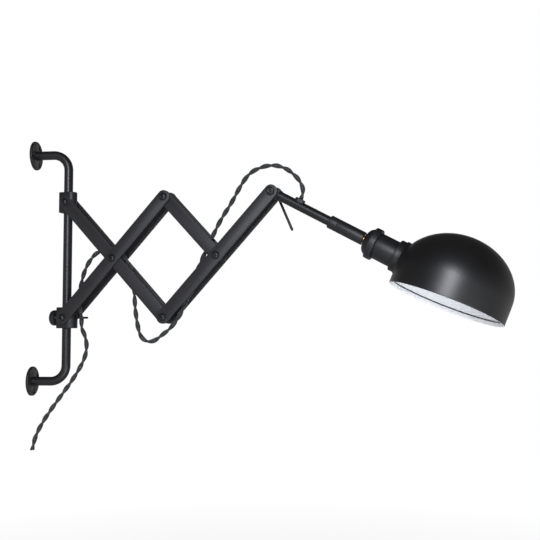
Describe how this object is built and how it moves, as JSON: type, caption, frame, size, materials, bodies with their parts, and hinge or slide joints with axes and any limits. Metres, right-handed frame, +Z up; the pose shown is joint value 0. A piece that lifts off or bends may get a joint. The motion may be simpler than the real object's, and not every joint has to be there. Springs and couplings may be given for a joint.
{
  "type": "accordion wall lamp",
  "caption": "Black accordion wall lamp: bent tube bracket, folding scissor linkage, tilting arm with side-mounted dome shade and twisted cord.",
  "frame": {"origin": "centre of the lower wall flange's back face, on the wall", "axes": "+X out of the wall, +Z up the bracket, +Y along the wall"},
  "size_m": [0.7289, 0.2038, 0.4892],
  "materials": {
    "black_paint": "satin fine-texture black powder coat",
    "cord_fabric": "braided textile, dark grey",
    "black_plastic": "matte black",
    "brass": "plain brass",
    "zinc_steel": "zinc plated",
    "white_ceramic": "glazed white ceramic"
  },
  "bodies": {
    "bracket": {"upper_flange": "black_paint", "lower_flange": "black_paint", "bracket_tube_upper": "black_paint", "bracket_tube_lower": "black_paint", "tube_joint_stud": "zinc_steel"},
    "upper_block": {"upper_block": "black_paint", "upper_pivot_screws": "black_paint", "upper_pivot_washers": "black_plastic"},
    "lower_block": {"lower_block": "black_paint", "cord_eyelet": "black_paint", "lower_pivot_screws": "black_paint", "lower_pivot_washers": "black_plastic", "cord_tail": "cord_fabric", "cord_eyelet_run": "cord_fabric"},
    "thumbscrew": {"thumbscrew_knob": "black_paint", "thumbscrew_stud": "zinc_steel"},
    "link_1": {"link_1_front_bar": "black_paint", "link_1_back_bar": "black_paint", "link_1_spacers": "black_paint", "link_1_screws": "black_paint", "link_1_washers": "black_plastic", "cord_inner_loop": "cord_fabric"},
    "link_2": {"link_2_front_bar": "black_paint", "link_2_back_bar": "black_paint", "link_2_spacer": "black_paint", "link_2_screws": "black_paint", "link_2_washers": "black_plastic"},
    "link_3": {"link_3_front_bar": "black_paint", "link_3_back_bar": "black_paint"},
    "link_4": {"link_4_front_bar": "black_paint", "link_4_back_bar": "black_paint", "link_4_spacer": "black_paint", "link_4_screws": "black_paint", "link_4_washers": "black_plastic", "tilt_bolt": "black_paint", "tilt_washers": "black_plastic", "cord_lower_loop": "cord_fabric"},
    "lamp_arm": {"arm_lug": "black_paint", "arm_tube": "black_paint", "cord_grommet": "black_plastic", "swivel_ring": "black_paint", "swivel_spigot": "brass", "swivel_clip": "zinc_steel", "cord_lamp_loop": "cord_fabric"},
    "clamp_lever": {"lever_hub": "black_paint", "lever_rod": "black_paint"},
    "head": {"swivel_sleeve": "black_paint", "swivel_bushing": "brass", "lamp_nipple": "brass", "holder_cap": "black_paint", "holder_barrel": "black_paint", "shade_ring": "black_paint", "shade_inner_ring": "black_paint", "holder_insert": "white_ceramic", "screw_shell": "brass", "centre_contact": "brass", "terminal_screws": "zinc_steel", "shade": "black_paint"}
  },
  "joints": [
    {"name": "swing", "type": "hinge", "parent": "bracket", "child": "upper_block", "pos_m": [0.0565, 0, 0.2828], "axis": [0, 0, 1], "range_deg": [-65.75, 84.25]},
    {"name": "scissor_fold", "type": "hinge", "parent": "upper_block", "child": "link_1", "pos_m": [0.0565, 0, 0.2828], "axis": [0.1607, 0.987, 0], "range_deg": [-32, 27], "deforming": ["cord_lamp_loop", "cord_lower_loop", "cord_inner_loop", "cord_eyelet_run", "cord_tail"]},
    {"name": "link_2_turn", "type": "hinge", "parent": "link_1", "child": "link_2", "pos_m": [0.14048, -0.01368, 0.19123], "axis": [0.1607, 0.987, 0], "range_deg": [-54, 64]},
    {"name": "link_4_turn", "type": "hinge", "parent": "link_1", "child": "link_4", "pos_m": [0.22447, -0.02736, 0.09966], "axis": [0.1607, 0.987, 0], "range_deg": [-54, 64]},
    {"name": "link_3_turn", "type": "hinge", "parent": "link_4", "child": "link_3", "pos_m": [0.30845, -0.04103, 0.19123], "axis": [0.1607, 0.987, 0], "range_deg": [-64, 54]},
    {"name": "lower_block_turn", "type": "hinge", "parent": "link_2", "child": "lower_block", "pos_m": [0.0565, 0, 0.09966], "axis": [0.1607, 0.987, 0], "range_deg": [-32, 27]},
    {"name": "arm_tilt", "type": "hinge", "parent": "link_4", "child": "lamp_arm", "pos_m": [0.39243, -0.05471, 0.2828], "axis": [0.1607, 0.987, 0], "range_deg": [-60, 45], "deforming": ["cord_lamp_loop"]},
    {"name": "head_swivel", "type": "hinge", "parent": "lamp_arm", "child": "head", "pos_m": [0.48776, -0.07024, 0.23014], "axis": [0.8666, -0.1411, -0.4787], "range_deg": [-170, 170]},
    {"name": "clamp_lever_turn", "type": "hinge", "parent": "link_4", "child": "clamp_lever", "pos_m": [0.39581, -0.03398, 0.2828], "axis": [0.1607, 0.987, 0], "range_deg": [-90, 90]},
    {"name": "thumbscrew_turn", "type": "hinge", "parent": "lower_block", "child": "thumbscrew", "pos_m": [0.04071, 0.00257, 0.09966], "axis": [0.987, -0.1607, 0], "range_deg": [-180, 180]}
  ],
  "couplings": [
    {"joint": "link_2_turn", "follows": "scissor_fold", "ratio": -2},
    {"joint": "link_4_turn", "follows": "scissor_fold", "ratio": -2},
    {"joint": "link_3_turn", "follows": "scissor_fold", "ratio": 2},
    {"joint": "lower_block_turn", "follows": "scissor_fold", "ratio": 1}
  ]
}
